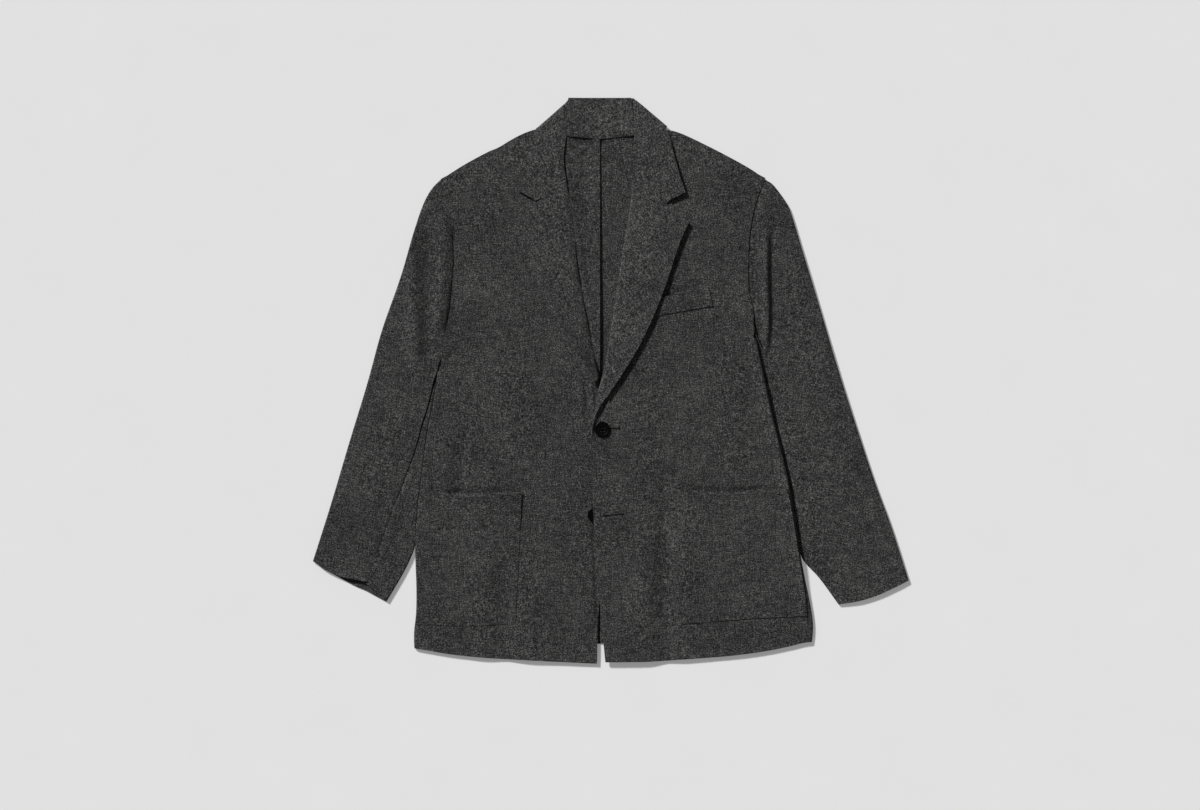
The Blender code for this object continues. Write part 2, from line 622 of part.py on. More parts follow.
def leaf_front(roll_points, edge_points, notch, count, across, side):
    """One side of the leaf over the front, from the gorge up to the neck."""
    roll = smooth_line(roll_points, count)
    edge = smooth_line(edge_points, count)
    kink = resample([roll[0], Vector(notch), edge[0]], across)
    rows = []
    top = 2 * ROLL_R + CLOTH / 2 + FACE_GAP + FACING - LEAF / 2 + 0.3
    for k in range(count + 1):
        share = k / count
        row = []
        for c in range(across + 1):
            t = c / across
            p = roll[k].lerp(edge[k], t)
            straight = roll[0].lerp(edge[0], t)
            p += (kink[c] - straight) * (1 - share) ** 3
            p.y += 3.4 * (1 - share) ** 3
            height = FRONT_Z + top + LEAF_RISE * t
            height += (LEAF_NECK_Z - height) * ease(share, 0.35, 1.0)
            curl = LEAF_CURL * (1 - ease(t, 0.0, 0.2)) * ease(share, 0.25, 0.6)
            p.x += side * 1.0 * (1 - t)
            row.append(Vector((p.x, p.y, height - curl)))
        rows.append(row)
    return rows


def leaf_turn(row):
    """The fold at the side of the neck, from over the front to behind the neck."""
    along = Vector((row[-1].x - row[0].x, row[-1].y - row[0].y)).normalized()
    out = Vector((-along.y, along.x))
    if out.y < 0:
        out = -out
    turned = []
    low = LEAF / 2
    for step in range(1, 6):
        angle = math.pi * step / 5
        new = []
        for p in row:
            radius = (p.z - low) / 2
            push = out * radius * math.sin(angle)
            new.append(Vector((p.x + push.x, p.y + push.y, low + radius * (1 + math.cos(angle)))))
        turned.append(new)
    return turned


def make_collar_stand(collection, name):
    """The part of the collar that shows inside the neck."""
    rows_n, across = 6, 10
    foot = smooth_line(NECK_SEAM, across)
    rows = []
    for k in range(rows_n + 1):
        t = k / rows_n
        row = []
        for c in range(across + 1):
            p = foot[c]
            x = p.x + 3.5 * t * (1 if c < across / 2 else -1) * abs(2 * c / across - 1)
            y = p.y + SEAM + (NECK_TOP_Y - 0.6 - p.y) * t
            z = LEAF + SEAM + CLOTH / 2 + 0.15
            z = BACK_Z + 0.2 + (z - BACK_Z - 0.2) * ease(y, 357.0, 364.5)
            row.append(Vector((x, y, z + 0.4 * math.sin(math.pi * t))))
        rows.append(row)
    return cloth_piece(collection, name, rows)


# Pockets and buttons


def make_patch(collection, name, top, foot, spec, rows_n, across, gape=0.0):
    """A patch laid on a front: made from the front's own points, moved out."""
    mouth = smooth_line(top, across)
    base = smooth_line(foot, across)
    rows = []
    for k in range(rows_n + 1):
        t = k / rows_n
        row = []
        for c in range(across + 1):
            p = base[c].lerp(mouth[c], t)
            z = spec["z"](p.x, p.y) + PATCH_RISE
            z += gape * math.sin(math.pi * c / across) * ease(t, 0.8, 1.0)
            row.append(Vector((p.x, p.y, z)))
        rows.append(row)
    return cloth_piece(collection, name, rows)


def make_button(collection, name, place, base_z):
    """A four-hole button, turned from its profile."""
    radius = BUTTON_D / 2
    profile = [
        (0.0, 0.0), (radius - 1.6, 0.0), (radius, 1.3), (radius - 0.9, BUTTON_H), (radius - 2.2, BUTTON_H - 0.1),
        (radius - 3.2, 1.8), (0.0, 1.8),
    ]
    shape = bmesh.new()
    verts = [shape.verts.new((x * MM, 0.0, z * MM)) for x, z in profile]
    for a, b in zip(verts, verts[1:]):
        shape.edges.new((a, b))
    bmesh.ops.spin(
        shape, geom=list(shape.verts) + list(shape.edges), cent=(0, 0, 0), axis=(0, 0, 1), angle=math.tau,
        steps=20, use_merge=True)
    bmesh.ops.remove_doubles(shape, verts=shape.verts, dist=1e-6)
    bmesh.ops.recalc_face_normals(shape, faces=shape.faces)
    mesh = bpy.data.meshes.new(name)
    shape.to_mesh(mesh)
    shape.free()
    obj = bpy.data.objects.new(name, mesh)
    obj.location = (place[0] * MM, place[1] * MM, base_z * MM)
    collection.objects.link(obj)
    mesh.materials.append(principled("button_black_resin_" + name, RESIN, 0.35))
    mesh.shade_smooth()
    holes = button_holes(name)
    cut = obj.modifiers.new("holes", "BOOLEAN")
    cut.object = holes
    cut.solver = "EXACT"
    holes.parent = obj
    return obj


def button_holes(name):
    """The four cylinders that bore a button's holes, in the button's own space."""
    cutters = bpy.data.collections.get("cutters")
    if cutters is None:
        cutters = bpy.data.collections.new("cutters")
        bpy.context.scene.collection.children.link(cutters)
    shape = bmesh.new()
    for k in range(4):
        angle = math.pi / 4 + k * math.pi / 2
        made = bmesh.ops.create_cone(
            shape, cap_ends=True, segments=6, radius1=HOLE_R * MM, radius2=HOLE_R * MM, depth=4 * BUTTON_H * MM)
        middle = (HOLE_OFF * MM * math.cos(angle), HOLE_OFF * MM * math.sin(angle), MM)
        bmesh.ops.translate(shape, verts=made["verts"], vec=middle)
    mesh = bpy.data.meshes.new(name + "_holes")
    shape.to_mesh(mesh)
    shape.free()
    obj = bpy.data.objects.new(name + "_holes", mesh)
    cutters.objects.link(obj)
    obj.hide_render = True
    obj.display_type = "WIRE"
    return obj


LEFT = {
    "side": 1, "edge": EDGE_LEFT, "roll": ROLL_LEFT, "lapel": LAPEL_LEFT, "hem": HEM_LEFT, "body": BODY_EDGE_LEFT,
    "widths": SIDE_SEAM_LEFT, "armhole": ARMHOLE_LEFT, "shoulder": SHOULDER_LEFT, "gorge": GORGE_Y[0],
    "z": front_left_z, "sleeve_out": SLEEVE_OUT_LEFT, "sleeve_in": SLEEVE_IN_LEFT, "inner_drop": 1.0,
    "cuff_sag": CUFF_SAG_LEFT, "cuff_gape": 0.0, "inseam": 26.0,
}
RIGHT = {
    "side": -1, "edge": EDGE_RIGHT, "roll": ROLL_RIGHT, "lapel": LAPEL_RIGHT, "hem": HEM_RIGHT,
    "body": BODY_EDGE_RIGHT, "widths": SIDE_SEAM_RIGHT, "armhole": ARMHOLE_RIGHT, "shoulder": SHOULDER_RIGHT,
    "gorge": GORGE_Y[1], "z": front_right_z, "sleeve_out": SLEEVE_OUT_RIGHT, "sleeve_in": SLEEVE_IN_RIGHT,
    "inner_drop": 0.0, "cuff_sag": 0.0, "cuff_gape": CUFF_GAPE_RIGHT, "inseam": 36.0,
}


def main():
    collection = clear_scene()
    for word, spec in (("left", LEFT), ("right", RIGHT)):
        spec["foot"] = read(spec["hem"], spec["body"][-1][0])
        spec["body_line"] = [tuple(p) for p in smooth_line(spec["body"], 60)]
        make_back(collection, "back_" + word, spec)
        make_side(collection, "side_" + word, spec)
        make_front(collection, "front_" + word, spec)
        make_lapel_face(collection, "lapel_" + word, spec)
        sleeve_pieces(collection, ("sleeve_top_" + word, "sleeve_under_" + word), spec)
    make_collar_stand(collection, "collar_stand")
    make_collar_leaf(collection, "collar_leaf")
    make_patch(collection, "pocket_left", POCKET_LEFT_MOUTH, POCKET_LEFT_FOOT, LEFT, 9, 8)
    make_patch(collection, "pocket_right", POCKET_RIGHT_MOUTH, POCKET_RIGHT_FOOT, RIGHT, 9, 8, POCKET_GAPE)
    make_patch(collection, "welt", WELT_TOP, WELT_FOOT, LEFT, 2, 5)
    upper_z = front_left_z(*BUTTON_UPPER) + CLOTH / 2 + BUTTON_LIFT
    make_button(collection, "button_upper", BUTTON_UPPER, upper_z)
    lower_z = front_right_z(*BUTTON_LOWER) + CLOTH / 2 + BUTTON_SEAT
    make_button(collection, "button_lower", BUTTON_LOWER, lower_z)


main()
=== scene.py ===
"""Grey wool flannel blazer laid flat: its cloth, stitching and buttons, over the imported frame."""
import math

import bmesh
import bpy
import numpy as np
from mathutils import Matrix, Vector, noise
from mathutils.bvhtree import BVHTree


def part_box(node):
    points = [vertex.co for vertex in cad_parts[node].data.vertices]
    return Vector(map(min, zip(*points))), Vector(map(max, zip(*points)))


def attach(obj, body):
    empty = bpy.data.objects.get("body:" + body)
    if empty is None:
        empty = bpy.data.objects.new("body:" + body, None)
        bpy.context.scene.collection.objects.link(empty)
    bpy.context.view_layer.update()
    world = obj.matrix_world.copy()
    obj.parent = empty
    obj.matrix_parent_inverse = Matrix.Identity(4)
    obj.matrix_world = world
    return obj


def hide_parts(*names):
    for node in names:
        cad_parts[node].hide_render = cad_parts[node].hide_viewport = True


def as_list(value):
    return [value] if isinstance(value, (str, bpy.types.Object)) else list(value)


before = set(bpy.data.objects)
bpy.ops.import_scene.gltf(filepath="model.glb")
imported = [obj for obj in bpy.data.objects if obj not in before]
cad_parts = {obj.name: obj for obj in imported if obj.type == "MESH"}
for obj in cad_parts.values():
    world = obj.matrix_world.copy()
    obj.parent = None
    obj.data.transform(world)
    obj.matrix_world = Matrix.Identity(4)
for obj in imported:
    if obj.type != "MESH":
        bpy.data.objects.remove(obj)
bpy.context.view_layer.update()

MM = 0.001
ROOT = "root"

# Camera
VIEW_CENTRE = (-13.8 * MM, -35.2 * MM)
VIEW_WIDTH = 1740 * MM
LENS = 85.0
SENSOR = 36.0
CLIP_END = 20.0

# Light and floor
SUN_TRAVEL = (0.66, -0.75)
SUN_RISE = math.radians(31)
SUN_SIZE = math.radians(8)
SUN_STRENGTH = 5.0
SKY_GREY = 0.18
FLOOR_HALF = 3.0
FLOOR_PARTS = 8
BOARD_GLOW = 0.196  # painted light: the board glows a little by its own emission, which keeps the shadows on it light

# Cloth meshes
MERGE = 1e-5
JOIN_ANGLE = math.radians(35)  # triangles that meet at less than this become quads
JOIN_SKEW = math.radians(70)
RIM_ANGLE = math.radians(50)
RIM_CREASE = 0.85
CUT_ANGLE = math.radians(34)
FINE = 3    # levels of subdivision
COARSE = 2
LOWEST = 0.25 * MM
UPPER = (1.7, 3.2)  # in mm; below the first height cloth takes no folds, above the second in full
BLEND = 1.0         # in mm; softens the height up to which an edge is drawn over

# Folds
FADE_IN = (-0.02, 0.25)  # shares of its length over which a fold rises and dies away
FADE_OUT = (0.72, 1.02)
NARROW = 6.0             # folds with a smaller half width, in mm, get a finer mesh
FINER_PASSES = 2
FINER_REACH = 2.0        # half widths from the fold's line that get it
FINER_EDGE = 0.5         # half widths that an edge may keep there

# Slow rise and fall of worn cloth: height in mm, then width and length in mm and layer of the noise
UNEVEN = 0.28
BROAD_WAVE = (46, 70, 3.1)
SMALL_WAVE = (19, 26, 9.7)
SMALL_SHARE = 0.45

# Stitches
SINK = 0.15  # how deep a stitch lies in the cloth, in mm
ABOVE = 0.1  # height in metres from which the cloth's top is looked for

# Pattern sizes, in metres
FLECK = 1.8 * MM   # a fibre fleck is about 1 mm; drawn twice as coarse so that it shows
CLOUD = 9.0 * MM   # uneven milling
SHADE = 80.0 * MM  # slow change of shade across the piece
TWILL = 2.4 * MM   # twill ribs are 1 mm apart; drawn coarser so that they show
NAP = 1.3 * MM     # tufts of the nap
NAP_DEPTH = 0.5 * MM
YARN = 1.6 * MM    # thicker places in single yarns, drawn twice as wide as the yarn
SLUB = 11.0 * MM   # length of those places

# What each pattern adds to the fleck in the cloth's shade, and the twill to the nap in its relief
CLOUD_SHARE = 0.18
TWILL_SHARE = 0.04
SHADE_SHARE = 0.11
SLUB_SHARE = 0.22
RIB_SHARE = 0.15

# Colours from the darkest to the lightest fibre or mottle, with their places
FLANNEL_STOPS = [
    (0.42, "080809"), (0.515, "19191A"), (0.615, "303030"), (0.715, "484847"), (0.84, "6A6A68")]
# the crosswise copy is painted a little lighter: painted light standing in for the brighter light
# on lapels and collar
CROSS_PAINTED_LIGHTER_STOPS = [
    (0.42, "090A0A"), (0.515, "1B1B1C"), (0.615, "333333"), (0.715, "4B4B4A"), (0.84, "6E6E6C")]
# thread colour, for the stitches and for the dark rows that are painted seam shade
THREAD_AND_SEAM_SHADE_STOPS = [(0.3, "0B0B0C"), (0.7, "151516")]
RESIN_STOPS = [(0.3, "030303"), (0.7, "060606")]
BOARD_STOPS = [(0.3, "C4C4C4"), (0.7, "C5C5C5")]

# Buttons: radius and height in mm, from the middle underneath to the middle on top, and the holes
BUTTON_PROFILE = [
    (0.0, 0.0), (9.4, 0.0), (10.4, 0.35), (11.05, 0.95), (11.25, 1.5), (11.1, 2.05), (10.6, 2.45),
    (9.9, 2.6), (9.1, 2.5), (8.4, 2.2), (7.6, 1.95), (5.5, 1.8), (0.0, 1.75),
]
BUTTON_STEPS = 64
BUTTON_MERGE = 1e-6
HOLES = 4
HOLE_OFF = 2.5
HOLE_R = 0.95
HOLE_STEPS = 16
DRILL_MIDDLE = 2
DRILL_LENGTH = 8

# Lines that pieces meet or turn over at, in mm
BODY_EDGE_LEFT = [(202, 120), (210, 50), (233, -50), (257, -150), (274, -270), (288, -385)]
SHOULDER_LEFT = [(88, 360), (160, 327), (233, 285)]
NECK_SIDE_RIGHT = [(-107, 357), (-144, 346)]
SHOULDER_RIGHT = [(-176, 330), (-205, 313), (-243, 289)]
FOREARM_SEAM_RIGHT = [(-280, -90), (-291, -129), (-316, -194), (-335, -248), (-366, -326)]
CUFF_RIGHT = [(-412, -277), (-375, -298)]
SLEEVE_FOOT_LEFT = [
    (214, 70), (218, 50), (227, 10), (241, -50), (256, -110), (268.5, -170), (277, -230),
    (283, -256)]
SLEEVE_FOOT_RIGHT = [(-247, 30), (-257, -30), (-268, -90), (-276, -150), (-283, -230)]
ARMHOLE_LEFT = [
    (213, 70), (208.1, 99.7), (200.8, 125.8), (199.5, 173.8), (200.8, 209.9), (204.3, 233.8),
    (211.6, 265.1), (226, 292)]
ARMHOLE_RIGHT = [
    (-248.8, 13.8), (-240.7, 44.6), (-228.5, 105.5), (-224.8, 144.4), (-222.6, 169.4),
    (-223.9, 212.6), (-229, 246), (-245, 290)]
GORGE_LEFT = [(35, 288), (57, 273), (83, 258)]
GORGE_RIGHT = [(-61, 286), (-84, 272), (-108, 258)]
ROLL_RIGHT = [(-57.5, 268), (-49.6, 200), (-39.6, 130), (-28.4, 60), (-24, 36)]
POCKET_LEFT_SEAM = [(97, -180), (103, -352), (150, -349), (218, -344), (286, -341)]
POCKET_RIGHT_SEAM = [(-127, -215), (-136, -352), (-174, -354), (-220, -355), (-277, -353)]

# Soft folds: parts of the names of the pieces they shape, points along each in mm, half width,
# and height (troughs are negative)
FOLDS = [
    # creases beside the upper button
    (("front_right",), [(-44, 6), (-41, -20), (-37, -54)], 4.5, 2.0),
    (("front_right",), [(-27, 0), (-25, -22), (-23, -48)], 3.5, 1.8),
    (("front_right",), [(-35, 2), (-33, -20), (-30, -50)], 3.5, -1.2),
    # waist, then the right half through its pocket to the hem
    (("front_right",), [(-241, -70), (-238, -130), (-234, -215)], 12.0, 2.2),
    (("front_right",), [(-212, -60), (-216, -130), (-218, -215)], 10.0, -1.2),
    (("front_right",), [(-178, -70), (-176, -130), (-172, -215)], 13.0, 1.4),
    (("_right",), [(-184, -225), (-186, -320), (-184, -435)], 16.0, 1.4),
    (("_right",), [(-152, -230), (-152, -320), (-149, -430)], 13.0, -1.9),
    (("_right",), [(-118, -240), (-114, -330), (-112, -430)], 17.0, 1.0),
    # puckers under the right pocket's mouth
    (("pocket_right",), [(-257, -227), (-243, -216), (-219, -214.6)], 3.5, -1.1),
    (("pocket_right",), [(-200, -220), (-183, -213), (-163, -207.6)], 3.5, -1.0),
    (("pocket_right",), [(-145, -204), (-131, -201)], 3.0, -0.8),
    # the roll above the upper button
    (("lapel_right",), [(-93, 112), (-72, 78), (-46, 40), (-34, 20), (-22, -6), (-8, -40)],
     10.0, 7.0),
    (("front_right",), [(-93, 112), (-72, 78), (-46, 40), (-34, 20), (-26, 2), (-14, -24)],
     10.0, 2.6),
    # right sleeve: its outer edge, beside the armhole, and the forearm seam
    (("sleeve_top_right",), [(-292, 270), (-285, 150), (-278, -10)], 12.0, 4.6),
    (("sleeve_top_right",), [(-266, 250), (-262, 140), (-262, 10)], 8.0, -1.2),
    (("sleeve_top_right",), [(-246, 250), (-241, 200), (-242, 150), (-247, 90), (-257, 40)],
     8.0, 2.0),
    (("sleeve_top_right",),
     [(-231, 250), (-225.6, 212), (-224.4, 170), (-226.6, 144), (-230.4, 105), (-242, 45)],
     2.4, -2.2),
    (("sleeve_top_right",), [(-300, -20), (-322, -110), (-345, -200)], 16.0, 1.3),
    (("sleeve_top_right", "sleeve_under_right"), FOREARM_SEAM_RIGHT, 2.0, -1.0),
    # left sleeve: beside the body, then down the arm
    (("sleeve_top_left",), [(227, 240), (227, 150), (229, 90), (227, 50), (219, 24)], 5.0, 4.6),
    (("sleeve_top_left",), [(236, 240), (235, 150), (237, 90), (235, 50), (228, 24)], 4.0, -2.0),
    (("sleeve_top_left",), [(300, 60), (318, -60), (345, -190)], 18.0, 1.4),
    (("sleeve_top_left",), [(268, 200), (282, 80), (296, -20)], 14.0, 1.0),
    # left edge of the body
    (("side_left", "front_left", "pocket_left"), BODY_EDGE_LEFT, 7.0, 5.2),
    # creases at the upper buttonhole
    (("front_left",), [(-2, -24), (-15, -50), (-20, -70), (-22, -90)], 3.5, -1.5),
    (("front_left",), [(-8, -26), (-20, -50), (-26, -70), (-27, -90)], 3.0, 2.0),
    # where the pocket mouths, the front edge and the welt press
    (("front_left",), [(84, -157), (125, -159.5), (170, -161.5), (230, -158.5), (258, -154)],
     5.5, -2.6),
    (("front_right",), [(-120, -159), (-150, -161.5), (-200, -164), (-238, -162.5), (-272, -149)],
     5.5, -2.6),
    (("front_right",), [(-23, -150), (-22, -240), (-18, -310), (-13, -400)], 4.0, -2.4),
    (("front_left",), [(50, 119), (72, 122), (110, 131), (146, 139)], 3.4, -1.7),
    # long soft folds of the left half, then of the right
    (("_left",), [(108, -170), (108, -310), (106, -435)], 14.0, 1.0),
    (("_left",), [(81, -120), (82, -310), (80, -435)], 11.0, -2.7),
    (("_left",), [(53, -160), (52, -310), (51, -435)], 14.0, 1.6),
    (("_left",), [(170, 60), (182, -60), (190, -150)], 20.0, 1.2),
    (("_left",), [(150, 320), (168, 270), (176, 220)], 15.0, 0.9),
    (("_right",), [(-150, 320), (-172, 260), (-180, 190)], 16.0, 0.9),
    (("_right",), [(-150, 60), (-140, -40), (-136, -140)], 22.0, 1.2),
]

ALL = 100.0  # a move for every layer
LOW = 2.6    # a move for the layer that lies on the surface, in mm
# Edges drawn over to what they meet: the pieces, the edge in mm, its reach, the moves at its two
# ends, and the height up to which they hold
DRAWN = [
    # collar, to the neck of the back and the gorge seams
    (("collar_stand",), [(-58, 358), (-14.5, 355), (31, 359)],
     12.0, (0, -4.2, 3.7), (0, -4.2, 1.3), ALL),
    (("back_right",), [(-46, 350), (-16, 347)], 10.0, (0, 0, 0.4), (0, 0, 1.1), ALL),
    (("collar_stand",), [(-58, 352), (-58, 412)], 20.0, (-5, 0, 1.7), (-5, 0, 1.7), ALL),
    (("collar_stand",), [(31, 352), (31, 412)], 20.0, (5, 0, 1.7), (5, 0, 1.7), ALL),
    (("collar_leaf",), GORGE_LEFT, 10.0, (0, -1.8, -0.4), (-1, -4.2, -0.3), ALL),
    (("collar_leaf",), GORGE_RIGHT, 10.0, (0, -1.8, -0.4), (1, -4.2, -0.3), ALL),
    (("collar_leaf",), [(-108, 367), (-90, 383), (-66, 404)],
     9.0, (3.5, -2.6, 0), (0, -2.6, 0), ALL),
    # lapels
    (("lapel_left",), GORGE_LEFT, 9.0, (0, 1.8, 0), (0, 2.2, 0), ALL),
    (("lapel_right",), GORGE_RIGHT, 9.0, (0, 1.8, 0), (0, 2.2, 0), ALL),
    (("lapel_right",), [(-28, 26), (-26, 22)], 26.0, (8, -28, -1.2), (8, -28, -1.2), ALL),
    # back: raised inside the neck opening, and closed along the centre seam
    (("back_right",), [(-14.6, 352), (-14.6, 200), (-14.6, 20)],
     24.0, (0, 0, 2.6), (0, 0, 4.6), ALL),
    (("back_right",), [(-56, 350), (-57, 320), (-50, 286), (-39.5, 200), (-30, 130), (-21, 60)],
     20.0, (0, 0, 3.8), (0, 0, 1.6), ALL),
    (("back_right",),
     [(-59.4, 352), (-64.6, 320), (-60.2, 286), (-47.2, 200), (-36.8, 130), (-26.2, 60), (-21, 30)],
     5.4, (0, 0, 4.2), (0, 0, 4.2), ALL),
    (("lapel_right", "front_right"), ROLL_RIGHT, 8.0, (0.7, 0, -1.5), (0.7, 0, -1.8), ALL),
    (("back_right",), [(-14.6, 360), (-14.6, -390)], 7.0, (0.8, 0, 0), (0.8, 0, 0), ALL),
    (("back_left",), [(-14.4, 360), (-14.4, -390)], 7.0, (-0.8, 0, 0), (-0.8, 0, 0), ALL),
    (("back_left",), [(-12, 352), (30, 358)], 8.0, (0, 0, 1.1), (0, 0, 0.8), ALL),
    # sleeves, to the body and the armholes
    (("sleeve_under_left",), SLEEVE_FOOT_LEFT, 34.0, (-5.0, 0, 0), (-5.0, 0, 0), LOW),
    (("sleeve_under_left",), SLEEVE_FOOT_LEFT, 16.0, (0, 0, -0.8), (0, 0, -1.0), ALL),
    (("sleeve_under_right",), SLEEVE_FOOT_RIGHT, 30.0, (2.4, 0, 0), (2.4, 0, 0), ALL),
    (("sleeve_top_left",), ARMHOLE_LEFT, 16.0, (-2.2, 0, -1.4), (-2.2, 0, -1.4), ALL),
    (("sleeve_under_left",), ARMHOLE_LEFT, 14.0, (-2.4, 0, 0), (-2.4, 0, 0), ALL),
    (("sleeve_top_right",), ARMHOLE_RIGHT, 16.0, (2.2, 0, -1.9), (2.2, 0, -1.9), ALL),
    (("sleeve_under_right",), ARMHOLE_RIGHT, 14.0, (2.4, 0, 0), (2.4, 0, 0), ALL),
    (("front_left",), ARMHOLE_LEFT, 12.0, (1.0, 0, 0.3), (2.4, 0, 0.3), ALL),
    (("front_right",), ARMHOLE_RIGHT, 12.0, (-1.0, 0, 0.5), (-2.0, 0, 0.5), ALL),
    # outlines of the left sleeve and of the hem's corners
    (("sleeve_top_left",), [(262, 249), (320, 70), (434, -303)],
     30.0, (3.8, 0.6, 0), (3.8, 0.6, 0), ALL),
    (("side_left",), [(285, -290), (297, -350), (300, -376)], 24.0, (0, 0, 0), (5.5, -2, 0), ALL),
    (("side_right",), [(-258, -376), (-258, -392)], 8.0, (0.9, 0, 0), (1.4, 0, 0), ALL),
    # shoulders
    (("front_left", "back_left"), SHOULDER_LEFT, 18.0, (0, 5.2, 0), (0, 2.6, 0), ALL),
    (("sleeve_top_left",), [(234, 284), (248, 266)], 12.0, (0.6, 1.6, 0), (0.4, 0.4, 0), ALL),
    (("sleeve_top_right",), [(-247, 288), (-262, 268), (-276, 240)],
     13.0, (-0.8, 2.9, 0), (-0.4, 0.2, 0), ALL),
    (("front_right", "back_right"), NECK_SIDE_RIGHT, 16.0, (0, 6.5, 0), (0, 1.6, 0), ALL),
    (("front_right", "back_right"), SHOULDER_RIGHT, 16.0, (0, 1.6, 0), (0, 4.4, 0), ALL),
    # right cuff
    (("sleeve_top_right",), [(-386, -284), (-365, -290), (-345, -298)],
     10.0, (0, 1, 2.0), (1, 3, 2.2), ALL),
    (("sleeve_top_right", "sleeve_under_right"), CUFF_RIGHT,
     26.0, (-1.0, -2.6, 0), (-0.9, -2.2, 0), ALL),
    # underarms, where front and sleeve meet
    (("sleeve_under_left",), [(216, 74), (219, 56)], 16.0, (-4, 0, 0), (-3, 0, 0), ALL),
    (("sleeve_under_left",), [(222, 48), (232, 0), (241, -50)],
     10.0, (1.4, 0, -1.4), (0.8, 0, -0.8), ALL),
    (("front_left",), [(206, 74), (207, 60), (209, 46)], 10.0, (3.0, 0, -0.3), (3.0, 0, -0.3), ALL),
    (("front_right",), [(-244, 32), (-241, 14), (-241, -4)],
     10.0, (-3.4, 0, -0.3), (-3.4, 0, -0.3), ALL),
    (("sleeve_under_right",), [(-250, 22), (-252, 2)], 16.0, (4, 0, 0), (3, 0, 0), ALL),
    # pockets and welt, pressed flat at their seams
    (("pocket_left",), [(98, -162), (160, -164), (257, -158)], 9.0, (0, 0, 0.2), (0, 0, 1.0), ALL),
    (("pocket_right",), [(-127, -162), (-180, -166), (-269, -153)],
     12.0, (0, 0, 1.6), (0, 0, 1.4), ALL),
    (("pocket_left",), POCKET_LEFT_SEAM, 14.0, (0, 0, -1.1), (0, 0, -0.9), ALL),
    (("pocket_left",), [(264, -172), (272, -230), (284, -330)],
     10.0, (3.0, 0, -0.2), (1.6, 0, -0.2), ALL),
    (("pocket_right",), POCKET_RIGHT_SEAM, 14.0, (0, 0, -1.1), (0, 0, -1.2), ALL),
    (("welt",), [(66, 93.6), (149.4, 108.4), (142.8, 135.9)],
     12.0, (0, 0, -0.8), (0, 0, -0.4), ALL),
]

# Stitching, some rows of which are partly painted shade: the pieces that carry it, its line in mm,
# pitch, stitch length and girth, and whether the stitches lie across the line
SEWING_AND_SEAM_SHADE = [
    # hems
    (("front_left",),
     [(-1, -381), (58.7, -380.8), (123.4, -376.2), (169.7, -372.8), (215.9, -367.5), (262, -360)],
     3.8, 2.4, 0.6, False),
    (("front_right",),
     [(-270, -361), (-229.8, -370.3), (-185.3, -374.9), (-137.3, -377.7), (-71.8, -381),
      (-20, -383)],
     3.8, 2.2, 0.45, False),
    # pocket mouths
    (("pocket_left",), [(100, -189), (147.2, -191), (199.2, -191.2), (238, -186), (262, -185)],
     3.8, 2.4, 0.5, False),
    (("pocket_right",),
     [(-129, -190), (-166.9, -192.5), (-205.8, -195.6), (-244.6, -191.5), (-271, -181)],
     3.8, 2.4, 0.5, False),
    # this short row of dark stitches stands in for the shadow of the pocket hem's free edge:
    # painted shadow
    (("pocket_right",), [(-131, -205), (-131, -166)], 3.0, 2.2, 0.6, False),
    # upper buttonhole
    (("front_left",), [(0.5, -69.0), (14, -68.4)], 0.9, 2.2, 1.0, True),
    (("front_left",), [(14.2, -72), (14.2, -65)], 0.9, 1.8, 0.9, True),
    # cuffs and the right forearm seam
    (("sleeve_top_left",), [(343, -330), (380, -318), (425, -302)], 3.8, 2.4, 0.5, False),
    (("sleeve_top_right",), [(-395, -254), (-370, -266), (-342, -280)], 3.8, 2.2, 0.4, False),
    # this close row is partly stitching and partly painted shade: a dark line standing in for the
    # shade in the seam
    (("sleeve_top_right", "sleeve_under_right"),
     [(-282, -134), (-297, -172), (-313, -227), (-344, -284)],
     2.6, 2.4, 0.6, False),
    # lower buttonhole
    (("front_left",), [(-9, -194.4), (19, -192.9)], 1.0, 2.4, 0.9, True),
    (("front_left",), [(19.4, -194.8), (19.5, -191)], 0.8, 1.6, 0.8, True),
    # neck seam: dark stitching that is partly painted shade along the seam
    (("back_left", "back_right"), [(-55, 349), (-14.5, 346), (27, 350)], 3.4, 2.2, 0.4, False),
    (("collar_stand",), [(-55, 361), (-14.5, 357.5), (28, 362)], 3.4, 2.2, 0.4, False),
]


# Materials

def colour(code):
    """sRGB hex to linear RGBA."""
    parts = [int(code[i:i + 2], 16) / 255 for i in (0, 2, 4)]
    linear = [p / 12.92 if p <= 0.04045 else ((p + 0.055) / 1.055) ** 2.4 for p in parts]
    return (*linear, 1.0)


def node(tree, kind, links=None, values=None, **settings):
    """Adds a shader node with its settings; values and links go by socket name or number."""
    made = tree.nodes.new(kind)
    for key, value in settings.items():
        setattr(made, key, value)
    for key, value in (values or {}).items():
        made.inputs[key].default_value = value
    for key, source in (links or {}).items():
        tree.links.new(source, made.inputs[key])
    return made


def new_material(name):
    material = bpy.data.materials.new(name)
    material.use_nodes = True
    material.node_tree.nodes.clear()
    return material, material.node_tree


def object_place(tree):
    return node(tree, "ShaderNodeTexCoord").outputs["Object"]


def noise_map(tree, where, size, detail, roughness=0.5):
    """Noise from 0 to 1 whose largest features have the given size."""
    values = {"Scale": 1 / size, "Detail": detail, "Roughness": roughness}
    return node(tree, "ShaderNodeTexNoise", {"Vector": where}, values).outputs["Fac"]


def centred(tree, pattern):
    """A pattern from 0 to 1 moved to run about zero."""
    return node(tree, "ShaderNodeMath", {0: pattern}, {1: 0.5}, operation="SUBTRACT").outputs[0]


def with_share(tree, base, share, pattern):
    """The base pattern plus a share of another."""
    return node(tree, "ShaderNodeMath", {0: pattern, 2: base}, {1: share},
                operation="MULTIPLY_ADD").outputs[0]


